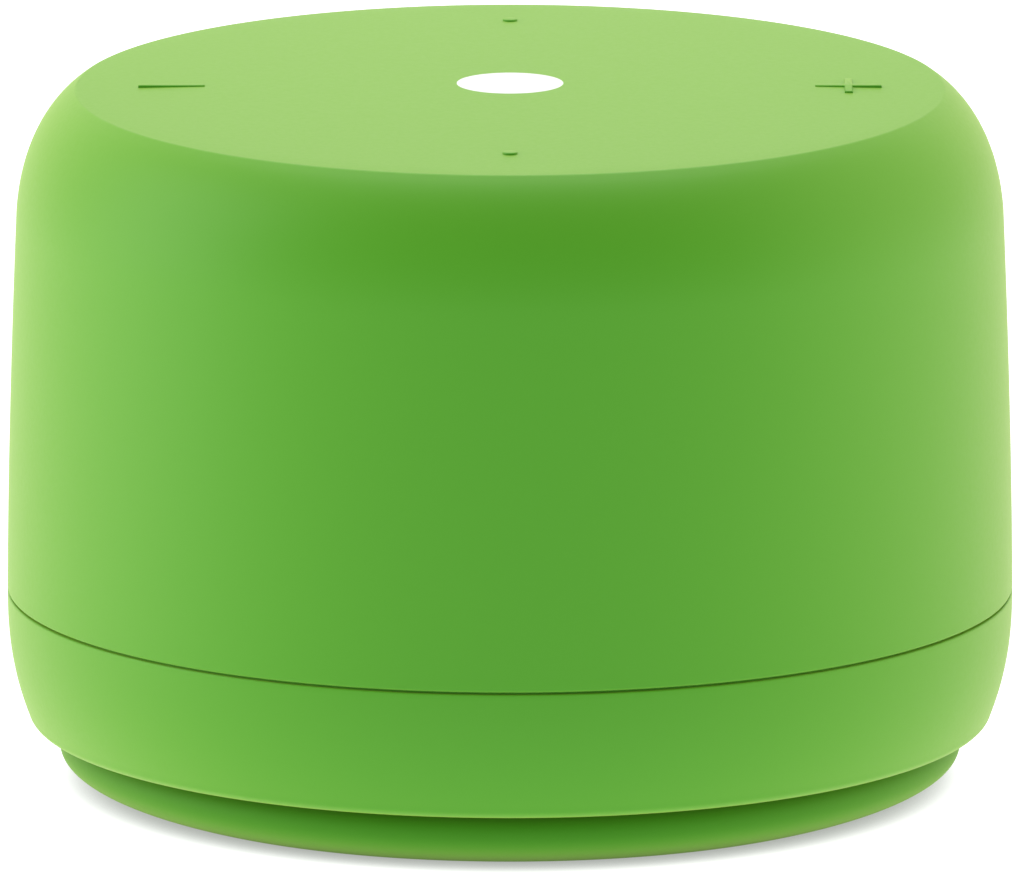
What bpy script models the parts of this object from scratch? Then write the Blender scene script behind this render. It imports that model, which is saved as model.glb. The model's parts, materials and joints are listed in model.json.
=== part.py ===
"""Shower speaker: a soft round drum that stands or clings on one large suction cup.

The drum is a rigid housing under a silicone sleeve, closed by a base shell.  The base carries a
driver that plays downwards through slots, and the cup.  The housing carries a board with the four
switches that the raised marks on the top press, and a battery in a carrier below the board.

Frame: +Z up, the cup's rim rests on z = 0, the front faces -Y and the charging port is at +Y.
Heights in this file are measured from the drum's datum plane, DATUM_HEIGHT above the ground: the
drum is modelled on that plane, and main() lifts it onto its cup at the end.
"""

import math

import bmesh
import bpy
from mathutils import Matrix, Vector

MM = 0.001

# ---- driving dimensions -------------------------------------------------------------------
DATUM_HEIGHT = 0.6 * MM
BODY_RADIUS = 35.0 * MM            # widest place of the drum, at the seam
EDGE_RADIUS = 33.6 * MM            # lower edge of the base shell, before its corner is rounded
EDGE_HEIGHT = 3.6 * MM
EDGE_ROUNDING = 0.8 * MM
BASE_FULLNESS = 2.3                # how soon the base shell's side turns upright
SEAM_HEIGHT = 12.8 * MM
SEAM_GAP = 0.3 * MM
SHOULDER_RADIUS = 34.3 * MM        # where the wall meets the rounded shoulder
SHOULDER_HEIGHT = 39.6 * MM
CREASE_RADIUS = 30.2 * MM          # where the shoulder meets the crowned top
CREASE_HEIGHT = 48.1 * MM
CREASE_SLOPE = math.radians(27.0)  # the shoulder's slope as it reaches the crease
CROWN_RISE = 0.4 * MM

GAP = 0.3 * MM                     # between pieces that rest on or surround each other
THIN_GAP = 0.15 * MM               # between stacked flat pieces

KEY_ANGLES = {"volume_up": 0.0, "play": 90.0, "volume_down": 180.0, "power": 270.0}
KEY_MARKS = {"volume_up": "plus", "play": "dot", "volume_down": "minus", "power": "dot"}
KEY_RING = 23.5 * MM               # the four marks stand on this radius
KEY_RADIUS = 4.0 * MM
KEY_UNDERSIDE = 46.9 * MM
KEY_TRAVEL = 0.35 * MM
PLUNGER_RADIUS = 1.6 * MM
PLUNGER_END = 42.75 * MM
STEM_BOTTOM = 40.4 * MM
STEM_RADIUS = 0.9 * MM
SWITCH_TOP = 41.6 * MM
SWITCH_HALF = 2.4 * MM
MARK_RISE = 0.14 * MM
MARK_STROKE = 0.56 * MM
MARK_LENGTH = 4.6 * MM
DOT_RADIUS = 0.52 * MM

SLEEVE_INNER_RADIUS = 33.0 * MM
SLEEVE_INNER_TOP = 46.5 * MM
INNER_CORNER = 6.5 * MM            # inner corner radius of the sleeve
HOUSING_WALL = 1.5 * MM
HOUSING_BOTTOM = SEAM_HEIGHT + 0.4 * MM

CUP_RIM_RADIUS = 31.4 * MM         # the cup's upright side
CUP_GROUND = -DATUM_HEIGHT
CUP_CONTACT = (26.6 * MM, 27.9 * MM)   # the flat ring that touches the ground
CUP_CURL = 2.5 * MM                # height over which the side curls in to the contact ring
CUP_CURL_POWER = 2.4
CUP_SHELF = 3.5 * MM               # height of the cup's upper edge
CUP_EDGE_ROUNDING = 1.6 * MM
CUP_TRAVEL = 2.2 * MM              # how far the rim can be pressed up towards the base
CUP_HOLLOW = CUP_GROUND + CUP_TRAVEL + 1.4 * MM    # roof of the hollow under the cup
CUP_NECK_RADIUS = 3.0 * MM
CUP_NECK_FOOT = 6.2 * MM           # the neck widens into the cup below this height
CUP_TOP = 8.3 * MM
WASHER_THICKNESS = 0.6 * MM
PLATE_BOTTOM = 6.5 * MM            # underside of the base shell's floor
PLATE_TOP = 8.1 * MM
COLLAR_TOP = 10.6 * MM             # top of the ring that carries the driver
SKIRT_INNER = CUP_RIM_RADIUS + GAP
SOUND_SLOTS = 12
SOUND_SLOT = (8.0 * MM, 15.4 * MM, 0.8 * MM)   # inner and outer end, and half width

DRIVER_FRONT = 11.3 * MM           # the face of the driver's flange that looks down
DRIVER_RADIUS = 20.0 * MM
COIL_RADIUS = 7.1 * MM
YOKE_TOP = 26.4 * MM

BOARD_RADIUS = 30.0 * MM
BOARD_BOTTOM = 37.0 * MM
BOARD_TOP = 38.2 * MM
CARRIER_BOTTOM = 35.4 * MM
CARRIER_TOP = 36.7 * MM
CELL_HALF = (17.0 * MM, 12.0 * MM)
CELL_BOTTOM = 28.5 * MM
CELL_TOP = 34.5 * MM

PORT_HEIGHT = 35.35 * MM           # middle of the charging port
PORT_WALL = 0.35 * MM
FLAP_WIDTH = 12.0 * MM
FLAP_HEIGHT = 7.4 * MM
FLAP_FACE = 34.4 * MM              # the flap's outer face, flush with the sleeve's wall
MIC_ANGLE = 108.0
LAMP_ANGLE = 72.0
PINHOLE_RADIUS = 0.6 * MM

CASE_SCREW = (1.1 * MM, 2.1 * MM, 1.4 * MM)    # shaft radius, head radius and head height
BOARD_SCREW = (1.0 * MM, 1.9 * MM, 1.2 * MM)
DRIVER_SCREW = (0.7 * MM, 1.4 * MM, 0.9 * MM)
CUP_SCREW = (1.2 * MM, 2.4 * MM, 1.2 * MM)
SCREW_PLAY = 0.3 * MM              # a hole's radius is larger than its screw's by this much
CUP_SCREW_HOLE = CUP_SCREW[0] + 0.2 * MM
CUP_SCREW_TIP = 5.4 * MM
CASE_SCREW_RING = 28.6 * MM
CASE_SCREW_ANGLES = (30.0, 150.0, 270.0)
BOARD_SCREW_RING = 26.5 * MM
BOARD_SCREW_ANGLES = (45.0, 165.0, 285.0)
DRIVER_SCREW_RING = 21.3 * MM
DRIVER_SCREW_ANGLES = (45.0, 135.0, 225.0, 315.0)

LEAD_RADIUS = 0.35 * MM
LEAD_HOLE = (-15.0 * MM, -19.0 * MM)
CELL_LEAD_HOLE = (-21.4 * MM, 0.0)

FINE = 48                          # facets round the outer shells
MEDIUM = 24
COARSE = 12


# ---- materials ----------------------------------------------------------------------------
COLOURS = {
    "silicone_green": ((0.26, 0.55, 0.13), 0.55, 0.0),
    "plastic_green": ((0.26, 0.55, 0.13), 0.5, 0.0),
    "plastic_black": ((0.02, 0.02, 0.022), 0.5, 0.0),
    "plastic_white": ((0.75, 0.75, 0.72), 0.45, 0.0),
    "board_green": ((0.02, 0.16, 0.07), 0.45, 0.0),
    "steel": ((0.62, 0.62, 0.63), 0.3, 1.0),
    "magnet_nickel": ((0.55, 0.54, 0.52), 0.25, 1.0),
    "copper": ((0.75, 0.36, 0.2), 0.35, 1.0),
    "paper_black": ((0.03, 0.03, 0.03), 0.9, 0.0),
    "cloth_amber": ((0.55, 0.33, 0.1), 0.85, 0.0),
    "foam_black": ((0.04, 0.04, 0.04), 0.95, 0.0),
    "cell_foil": ((0.6, 0.62, 0.66), 0.35, 0.8),
    "wire_red": ((0.55, 0.02, 0.02), 0.45, 0.0),
    "wire_black": ((0.02, 0.02, 0.02), 0.45, 0.0),
    "lamp_clear": ((0.9, 0.93, 0.95), 0.15, 0.0),
}


def make_materials():
    made = {}
    for name, (colour, roughness, metallic) in COLOURS.items():
        material = bpy.data.materials.new(name)
        material.use_nodes = True
        shader = material.node_tree.nodes["Principled BSDF"]
        shader.inputs["Base Color"].default_value = (*colour, 1.0)
        shader.inputs["Roughness"].default_value = roughness
        shader.inputs["Metallic"].default_value = metallic
        material.diffuse_color = (*colour, 1.0)
        made[name] = material
    return made


# ---- modelling helpers --------------------------------------------------------------------
def on_ring(radius, degrees, height=0.0):
    angle = math.radians(degrees)
    return Vector((radius * math.cos(angle), radius * math.sin(angle), height))


def arc(centre, radius, start, end, count):
    """Points (r, z) on a circular arc, from the start angle to the end angle in degrees."""
    points = []
    for step in range(count + 1):
        angle = math.radians(start + (end - start) * step / count)
        points.append((centre[0] + radius * math.cos(angle), centre[1] + radius * math.sin(angle)))
    return points


def bezier(p0, p1, p2, p3, count):
    points = []
    for step in range(count + 1):
        t = step / count
        weights = ((1 - t) ** 3, 3 * t * (1 - t) ** 2, 3 * t * t * (1 - t), t ** 3)
        points.append(tuple(sum(w * p[i] for w, p in zip(weights, (p0, p1, p2, p3)))
                            for i in range(2)))
    return points


def ring_outline(inner, outer, low, high):
    return [(inner, low), (outer, low), (outer, high), (inner, high)]


def disc_outline(radius, low, high):
    return ring_outline(0.0, radius, low, high)


def turned(profile, segments=MEDIUM, about=(0.0, 0.0)):
    """A solid of revolution about a vertical axis, from a closed outline of (r, z) points."""
    solid = bmesh.new()
    points = [solid.verts.new((r, 0.0, z)) for r, z in profile]
    on_axis = [r < 1e-9 for r, z in profile]
    edges = []
    for first in range(len(points)):
        second = (first + 1) % len(points)
        if not (on_axis[first] and on_axis[second]):
            edges.append(solid.edges.new((points[first], points[second])))
    bmesh.ops.spin(solid, geom=points + edges, cent=(0, 0, 0), axis=(0, 0, 1),
                   angle=2 * math.pi, steps=segments, use_merge=True)
    bmesh.ops.remove_doubles(solid, verts=solid.verts, dist=1e-7)
    bmesh.ops.recalc_face_normals(solid, faces=solid.faces)
    bmesh.ops.translate(solid, verts=solid.verts, vec=(*about, 0.0))
    return solid


def add_rod(solid, radius, bottom, top, at=(0.0, 0.0), segments=COARSE):
    """Add a vertical cylinder to a mesh in the making."""
    place = Matrix.Translation((at[0], at[1], (bottom + top) / 2))
    bmesh.ops.create_cone(solid, cap_ends=True, segments=segments, radius1=radius,
                          radius2=radius, depth=top - bottom, matrix=place)


def add_radial_rod(solid, radius, inner, outer, degrees, height, segments=COARSE):
    """Add a cylinder that lies along a radius of the drum."""
    turn = Matrix.Rotation(math.radians(degrees), 4, "Z") @ Matrix.Rotation(math.pi / 2, 4, "Y")
    place = Matrix.Translation(on_ring((inner + outer) / 2, degrees, height)) @ turn
    bmesh.ops.create_cone(solid, cap_ends=True, segments=segments, radius1=radius,
                          radius2=radius, depth=outer - inner, matrix=place)


def add_block(solid, low, high, rounding=0.0, axis=2, turn=None):
    """Add a box between two corners; rounding rounds the four edges along one axis."""
    size = [high[i] - low[i] for i in range(3)]
    middle = [(high[i] + low[i]) / 2 for i in range(3)]
    place = Matrix.Translation(middle) @ Matrix.Diagonal((*size, 1.0))
    corners = bmesh.ops.create_cube(solid, size=1.0, matrix=place)["verts"]
    if rounding > 0.0:
        edges = {edge for corner in corners for edge in corner.link_edges}
        along = [edge for edge in edges
                 if abs((edge.verts[0].co - edge.verts[1].co)[axis]) > size[axis] / 2]
        rounded = bmesh.ops.bevel(solid, geom=along, offset=rounding, segments=3, profile=0.5,
                                  affect="EDGES")
        corners = {corner for face in rounded["faces"] for corner in face.verts}
    if turn is not None:
        bmesh.ops.transform(solid, matrix=turn, verts=list(corners))


def add_solid(name, solid, material, parent, at=(0.0, 0.0, 0.0)):
    """Make a named object; at is its origin, and the mesh is given in drum coordinates."""
    bmesh.ops.translate(solid, verts=solid.verts, vec=-Vector(at))
    mesh = bpy.data.meshes.new(name)
    solid.to_mesh(mesh)
    solid.free()
    mesh.shade_smooth()
    mesh.set_sharp_from_angle(angle=math.radians(35))
    mesh.materials.append(material)
    item = bpy.data.objects.new(name, mesh)
    item.location = Vector(at) - parent.location
    item.parent = parent
    bpy.context.scene.collection.objects.link(item)
    return item


def drum_of(item):
    """The empty at the top of an object's chain of parents."""
    while item.parent is not None:
        item = item.parent
    return item


def combine(item, helper, operation):
    """Apply a helper mesh to an object with a Boolean: UNION adds it, DIFFERENCE cuts it."""
    name = f"{item.name}_{operation.lower()}"
    mesh = bpy.data.meshes.new(name)
    helper.to_mesh(mesh)
    helper.free()
    guide = bpy.data.objects.new(name, mesh)
    guide.parent = drum_of(item)
    guide.hide_render = True
    guide.display_type = "WIRE"
    bpy.context.scene.collection.objects.link(guide)
    modifier = item.modifiers.new(name, "BOOLEAN")
    modifier.operation = operation
    modifier.object = guide


def pivot(name, at, parent=None):
    """An empty on a joint's axis, which carries the pieces that move together."""
    empty = bpy.data.objects.new(name, None)
    empty.empty_display_size = 5 * MM
    empty.location = Vector(at) - (parent.location if parent else Vector())
    empty.parent = parent
    bpy.context.scene.collection.objects.link(empty)
    return empty


# ---- the drum's outline -------------------------------------------------------------------
def base_curve(count):
    """Side of the base shell, from its rounded lower corner up to the seam."""
    points = arc((EDGE_RADIUS - EDGE_ROUNDING, EDGE_HEIGHT + EDGE_ROUNDING), EDGE_ROUNDING,
                 -90, -12, 3)
    start, top = points[-1], SEAM_HEIGHT - SEAM_GAP / 2
    for step in range(1, count + 1):
        t = step / count
        rise = 1 - (1 - t) ** BASE_FULLNESS
        points.append((start[0] + (BODY_RADIUS - start[0]) * rise,
                       start[1] + (top - start[1]) * t))
    return points


def sleeve_curve(wall_count, shoulder_count, crown_count):
    """Side of the sleeve: wall, rounded shoulder, crease and the top's slight crown."""
    bottom = SEAM_HEIGHT + SEAM_GAP / 2
    wall = []
    for step in range(wall_count):
        t = step / wall_count
        wall.append((BODY_RADIUS - (BODY_RADIUS - SHOULDER_RADIUS) * t ** 1.6,
                     bottom + (SHOULDER_HEIGHT - bottom) * t))
    handle = 3.5 * MM
    lean = math.radians(4.0)
    start, end = (SHOULDER_RADIUS, SHOULDER_HEIGHT), (CREASE_RADIUS, CREASE_HEIGHT)
    shoulder = bezier(start,
                      (start[0] - handle * math.sin(lean), start[1] + handle * math.cos(lean)),
                      (end[0] + handle * math.cos(CREASE_SLOPE),
                       end[1] - handle * math.sin(CREASE_SLOPE)),
                      end, shoulder_count)
    crown = [(CREASE_RADIUS * (1 - step / crown_count), crown_height(1 - step / crown_count))
             for step in range(1, crown_count + 1)]
    return wall + shoulder + crown


def crown_height(fraction):
    """Height of the top surface at a fraction of the crease's radius."""
    return CREASE_HEIGHT + CROWN_RISE * (1 - fraction ** 2)


# ---- outer shells -------------------------------------------------------------------------
def port_opening(inner, outer, low, high, half_width):
    solid = bmesh.new()
    add_block(solid, (-half_width, inner, low), (half_width, outer, high), 1.0 * MM, axis=1)
    return solid


def make_sleeve(materials, body):
    corner = (SLEEVE_INNER_RADIUS - INNER_CORNER, SLEEVE_INNER_TOP - INNER_CORNER)
    outline = sleeve_curve(4, 6, 2)
    outline += [(0.0, SLEEVE_INNER_TOP)]
    outline += arc(corner, INNER_CORNER, 90, 0, 4)
    outline += [(SLEEVE_INNER_RADIUS, outline[0][1])]
    sleeve = add_solid("outer_sleeve", turned(outline, FINE), materials["silicone_green"], body)
    cutter = port_opening(30 * MM, 37 * MM, PORT_HEIGHT - FLAP_HEIGHT / 2 - GAP,
                          PORT_HEIGHT + FLAP_HEIGHT / 2 + GAP, FLAP_WIDTH / 2 + GAP)
    for angle in KEY_ANGLES.values():
        add_rod(cutter, KEY_RADIUS + GAP, 45 * MM, 50 * MM, on_ring(KEY_RING, angle)[:2])
    for angle in (MIC_ANGLE, LAMP_ANGLE):
        add_radial_rod(cutter, PINHOLE_RADIUS, 30 * MM, 37 * MM, angle, PORT_HEIGHT, 8)
    combine(sleeve, cutter, "DIFFERENCE")


def make_housing(materials, body):
    outer = SLEEVE_INNER_RADIUS - THIN_GAP
    top = SLEEVE_INNER_TOP - THIN_GAP
    corner = (SLEEVE_INNER_RADIUS - INNER_CORNER, SLEEVE_INNER_TOP - INNER_CORNER)
    outline = [(outer, HOUSING_BOTTOM)] + arc(corner, INNER_CORNER - THIN_GAP, 0, 90, 4)
    outline += [(0.0, top), (0.0, top - HOUSING_WALL)]
    outline += arc(corner, INNER_CORNER - THIN_GAP - HOUSING_WALL, 90, 0, 4)
    outline += [(outer - HOUSING_WALL, HOUSING_BOTTOM)]
    housing = add_solid("inner_housing", turned(outline, 32), materials["plastic_black"], body)
    bosses = bmesh.new()
    for angle in CASE_SCREW_ANGLES:
        add_rod(bosses, 2.9 * MM, SEAM_HEIGHT, 24 * MM, on_ring(CASE_SCREW_RING, angle)[:2])
    for angle in BOARD_SCREW_ANGLES:
        add_rod(bosses, 2.2 * MM, BOARD_TOP + GAP, 45.4 * MM,
                on_ring(BOARD_SCREW_RING, angle)[:2])
    combine(housing, bosses, "UNION")
    holes = port_opening(30 * MM, 35 * MM, PORT_HEIGHT - 2.7 * MM, PORT_HEIGHT + 3.9 * MM,
                         5.4 * MM)
    for radius, low, high, ring, angles in (
            (CASE_SCREW[0] + 0.2 * MM, 10 * MM, 21 * MM, CASE_SCREW_RING, CASE_SCREW_ANGLES),
            (BOARD_SCREW[0] + SCREW_PLAY, 35 * MM, 43.6 * MM, BOARD_SCREW_RING, BOARD_SCREW_ANGLES),
            (PLUNGER_RADIUS + 0.4 * MM, 43 * MM, 48 * MM, KEY_RING, KEY_ANGLES.values())):
        for angle in angles:
            add_rod(holes, radius, low, high, on_ring(ring, angle)[:2])
    for angle in (MIC_ANGLE, LAMP_ANGLE):
        add_radial_rod(holes, PINHOLE_RADIUS, 30 * MM, 35 * MM, angle, PORT_HEIGHT, 8)
    combine(housing, holes, "DIFFERENCE")


def make_base(materials, body):
    top = SEAM_HEIGHT - SEAM_GAP / 2
    inner = 31.8 * MM
    neck = CUP_NECK_RADIUS + GAP
    outline = base_curve(4)
    outline += [(inner, top), (inner, PLATE_TOP), (20.4 * MM, PLATE_TOP),
                (20.4 * MM, COLLAR_TOP), (16.9 * MM, COLLAR_TOP), (16.9 * MM, PLATE_TOP),
                (neck, PLATE_TOP), (neck, PLATE_BOTTOM), (SKIRT_INNER, PLATE_BOTTOM),
                (SKIRT_INNER, EDGE_HEIGHT)]
    base = add_solid("base_shell", turned(outline, FINE), materials["plastic_green"], body)
    posts = bmesh.new()
    for angle in CASE_SCREW_ANGLES:
        add_rod(posts, 3.4 * MM, 7.0 * MM, top - 0.1 * MM, on_ring(CASE_SCREW_RING, angle)[:2])
    for angle in DRIVER_SCREW_ANGLES:
        add_rod(posts, 1.8 * MM, 7.0 * MM, 10.9 * MM, on_ring(DRIVER_SCREW_RING, angle)[:2])
    combine(base, posts, "UNION")
    holes = bmesh.new()
    for angle in CASE_SCREW_ANGLES:
        at = on_ring(CASE_SCREW_RING, angle)[:2]
        add_rod(holes, 2.5 * MM, 5 * MM, 8.7 * MM, at)
        add_rod(holes, CASE_SCREW[0] + SCREW_PLAY, 8.7 * MM, 14 * MM, at)
    for angle in DRIVER_SCREW_ANGLES:
        add_rod(holes, DRIVER_SCREW[0] + 0.25 * MM, 8.6 * MM, 12 * MM,
                on_ring(DRIVER_SCREW_RING, angle)[:2], 8)
    start, end, half_width = SOUND_SLOT
    for slot in range(SOUND_SLOTS):
        turn = Matrix.Rotation(2 * math.pi * (slot + 0.5) / SOUND_SLOTS, 4, "Z")
        add_block(holes, (start, -half_width, 5 * MM), (end, half_width, 9 * MM), 0.5 * MM,
                  turn=turn)
    combine(base, holes, "DIFFERENCE")


def make_seals(materials, body):
    bottom = SEAM_HEIGHT - SEAM_GAP / 2 + 0.09 * MM
    top = HOUSING_BOTTOM - 0.09 * MM
    for name, outline in (
            ("housing_gasket", ring_outline(32.0 * MM, 32.7 * MM, bottom, top)),
            ("acoustic_mesh", ring_outline(5.8 * MM, 16.5 * MM, PLATE_TOP + 0.2 * MM,
                                           PLATE_TOP + 0.45 * MM)),
            ("driver_gasket", ring_outline(17.2 * MM, 19.3 * MM, COLLAR_TOP + THIN_GAP,
                                           DRIVER_FRONT - THIN_GAP))):
        add_solid(name, turned(outline, 32), materials["foam_black"], body)


# ---- suction cup --------------------------------------------------------------------------
def cup_curl(count):
    """The cup's side, from its upright wall down and inwards to the contact ring."""
    reach = CUP_RIM_RADIUS - CUP_CONTACT[1]
    return [(CUP_RIM_RADIUS - reach * (step / count) ** CUP_CURL_POWER,
             CUP_GROUND + CUP_CURL * (1 - step / count)) for step in range(count + 1)]


def make_cup(materials, body, cup):
    outline = [(0.0, CUP_TOP), (CUP_NECK_RADIUS, CUP_TOP), (CUP_NECK_RADIUS, CUP_NECK_FOOT),
               (6.2 * MM, CUP_NECK_FOOT)]
    outline += bezier((6.4 * MM, 5.6 * MM), (8 * MM, 4.6 * MM), (18 * MM, 4.1 * MM),
                      (CUP_RIM_RADIUS - 3.0 * MM, CUP_SHELF), 4)
    outline += arc((CUP_RIM_RADIUS - CUP_EDGE_ROUNDING, CUP_SHELF - CUP_EDGE_ROUNDING),
                   CUP_EDGE_ROUNDING, 90, 0, 4)
    outline += cup_curl(6)
    outline += [(CUP_CONTACT[0], CUP_GROUND)]
    outline += bezier((25.8 * MM, 0.0), (18 * MM, 2.4 * MM), (12 * MM, CUP_HOLLOW),
                      (0.0, CUP_HOLLOW), 5)
    item = add_solid("suction_cup", turned(outline, 36), materials["silicone_green"], cup,
                     cup.location)
    hole = bmesh.new()
    add_rod(hole, CUP_SCREW_HOLE, CUP_SCREW_TIP - GAP, CUP_TOP + MM)
    combine(item, hole, "DIFFERENCE")
    low = CUP_TOP + THIN_GAP
    high = low + WASHER_THICKNESS
    washer = ring_outline(CUP_SCREW_HOLE + 0.1 * MM, 5.2 * MM, low, high)
    add_solid("cup_washer", turned(washer, 16), materials["steel"], body)
    add_screw("cup_screw", materials["steel"], body, (0.0, 0.0), high + THIN_GAP, CUP_SCREW_TIP,
              CUP_SCREW)


# ---- screws -------------------------------------------------------------------------------
def add_screw(name, material, body, at, seat, tip, size):
    """A pan-head screw with a round recess: the head sits on seat, away from the tip."""
    shaft_radius, head_radius, head_height = size
    way = 1.0 if seat > tip else -1.0
    top = seat + way * head_height
    socket = top - way * head_height * 0.55
    outline = [(0.0, tip), (shaft_radius * 0.6, tip), (shaft_radius, tip + way * 0.4 * MM),
               (shaft_radius, seat), (head_radius, seat), (head_radius, top - way * 0.3 * MM),
               (head_radius - 0.3 * MM, top), (head_radius * 0.45, top),
               (head_radius * 0.45, socket), (0.0, socket)]
    add_solid(name, turned(outline, 8, at), material, body)


def make_screws(materials, body):
    steel = materials["steel"]
    for number, angle in enumerate(CASE_SCREW_ANGLES, 1):
        add_screw(f"case_screw_{number}", steel, body, on_ring(CASE_SCREW_RING, angle)[:2],
                  8.4 * MM, 19.5 * MM, CASE_SCREW)
    for number, angle in enumerate(BOARD_SCREW_ANGLES, 1):
        add_screw(f"board_screw_{number}", steel, body, on_ring(BOARD_SCREW_RING, angle)[:2],
                  CARRIER_BOTTOM - 0.2 * MM, 43.0 * MM, BOARD_SCREW)
    for number, angle in enumerate(DRIVER_SCREW_ANGLES, 1):
        add_screw(f"driver_screw_{number}", steel, body, on_ring(DRIVER_SCREW_RING, angle)[:2],
                  12.55 * MM, 8.9 * MM, DRIVER_SCREW)


# ---- driver -------------------------------------------------------------------------------
def make_driver(materials, body, diaphragm):
    front = DRIVER_FRONT
    basket = [(DRIVER_RADIUS, front), (DRIVER_RADIUS, front + 1.0 * MM),
              (17.9 * MM, front + 1.0 * MM), (12.3 * MM, 17.6 * MM), (12.3 * MM, 18.9 * MM),
              (9.9 * MM, 18.9 * MM), (9.9 * MM, 17.9 * MM), (11.4 * MM, 17.9 * MM),
              (11.4 * MM, 17.2 * MM), (17.2 * MM, front + 0.4 * MM), (17.2 * MM, front)]
    frame = add_solid("driver_basket", turned(basket), materials["steel"], body)
    ears = bmesh.new()
    for angle in DRIVER_SCREW_ANGLES:
        add_rod(ears, 1.9 * MM, front + 0.1 * MM, front + 0.9 * MM,
                on_ring(DRIVER_SCREW_RING, angle)[:2])
    combine(frame, ears, "UNION")
    windows = bmesh.new()
    for angle in DRIVER_SCREW_ANGLES:
        add_rod(windows, DRIVER_SCREW[0] + 0.25 * MM, front - 1 * MM, front + 2 * MM,
                on_ring(DRIVER_SCREW_RING, angle)[:2], 8)
        turn = Matrix.Rotation(math.radians(angle + 45.0), 4, "Z")
        add_block(windows, (12.8 * MM, -4.0 * MM, 12.9 * MM), (19 * MM, 4.0 * MM, 16.9 * MM),
                  turn=turn)
    combine(frame, windows, "DIFFERENCE")

    yoke_inside = YOKE_TOP - 1.5 * MM
    yoke = [(9.7 * MM, 18.1 * MM), (9.7 * MM, YOKE_TOP - 0.4 * MM), (9.3 * MM, YOKE_TOP),
            (0.0, YOKE_TOP), (0.0, yoke_inside), (7.7 * MM, yoke_inside), (7.7 * MM, 18.1 * MM)]
    add_solid("driver_yoke", turned(yoke), materials["steel"], body)
    magnet = disc_outline(6.0 * MM, 20.7 * MM, yoke_inside - 0.2 * MM)
    add_solid("driver_magnet", turned(magnet, 20), materials["magnet_nickel"], body)
    pole = disc_outline(6.25 * MM, 18.4 * MM, 20.5 * MM)
    add_solid("driver_pole_plate", turned(pole, 20), materials["steel"], body)
    make_diaphragm(materials, body, diaphragm)


def make_diaphragm(materials, body, diaphragm):
    """The cone with its coil and cap, which move, and the surround and spider, which flex."""
    coil = ring_outline(COIL_RADIUS - 0.35 * MM, COIL_RADIUS, 15.9 * MM, 21.2 * MM)
    add_solid("voice_coil", turned(coil), materials["copper"], diaphragm, diaphragm.location)
    cone = bezier((14.0 * MM, 12.2 * MM), (12.5 * MM, 12.9 * MM), (9.5 * MM, 14.0 * MM),
                  (6.9 * MM, 15.6 * MM), 3)
    back = [(r, z - 0.4 * MM) for r, z in reversed(cone)]
    add_solid("driver_cone", turned(cone + back), materials["paper_black"], diaphragm,
              diaphragm.location)
    dome = [(6.4 * MM * math.sin(angle), 16.6 * MM - 2.8 * MM * math.cos(angle))
            for angle in (math.radians(28 * step) for step in range(4))]
    skin = 0.35 * MM
    cap = dome + [(r * 0.94, z + skin) for r, z in reversed(dome[1:])]
    cap += [(0.0, dome[0][1] + skin)]
    add_solid("dust_cap", turned(cap, 20), materials["paper_black"], diaphragm,
              diaphragm.location)
    middle, roll, skin = (15.6 * MM, 11.65 * MM), 1.4 * MM, 0.35 * MM
    surround = arc(middle, roll, 0, -180, 4) + arc(middle, roll - skin, -180, 0, 4)
    add_solid("cone_surround", turned(surround), materials["foam_black"], body)
    spider = [(7.4 * MM, 16.5 * MM), (8.4 * MM, 16.9 * MM), (9.4 * MM, 16.5 * MM),
              (10.4 * MM, 16.9 * MM), (11.15 * MM, 16.6 * MM)]
    under = [(r, z - 0.3 * MM) for r, z in reversed(spider)]
    add_solid("driver_spider", turned(spider + under), materials["cloth_amber"], body)


# ---- board, battery and port --------------------------------------------------------------
def make_board(materials, body):
    board = add_solid("control_board", turned(disc_outline(BOARD_RADIUS, BOARD_BOTTOM, BOARD_TOP)),
                      materials["board_green"], body)
    combine(board, board_screw_holes(BOARD_BOTTOM - MM, BOARD_TOP + MM), "DIFFERENCE")
    seat = BOARD_TOP + THIN_GAP
    for name, low, high, material in (
            ("radio_module", (-9 * MM, -7 * MM, seat), (6 * MM, 6 * MM, 40.6 * MM), "steel"),
            ("amplifier_chip", (9 * MM, -4 * MM, seat), (15 * MM, 2 * MM, 39.4 * MM),
             "plastic_black")):
        solid = bmesh.new()
        add_block(solid, low, high)
        add_solid(name, solid, materials[material], body)


def board_screw_holes(low, high):
    holes = bmesh.new()
    for angle in BOARD_SCREW_ANGLES:
        add_rod(holes, BOARD_SCREW[0] + SCREW_PLAY, low, high, on_ring(BOARD_SCREW_RING, angle)[:2])
    return holes


def block_about_axis(half_x, half_y, low, high, rounding=0.0, axis=2):
    """A box with its middle on the drum's axis."""
    solid = bmesh.new()
    add_block(solid, (-half_x, -half_y, low), (half_x, half_y, high), rounding, axis)
    return solid


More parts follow.
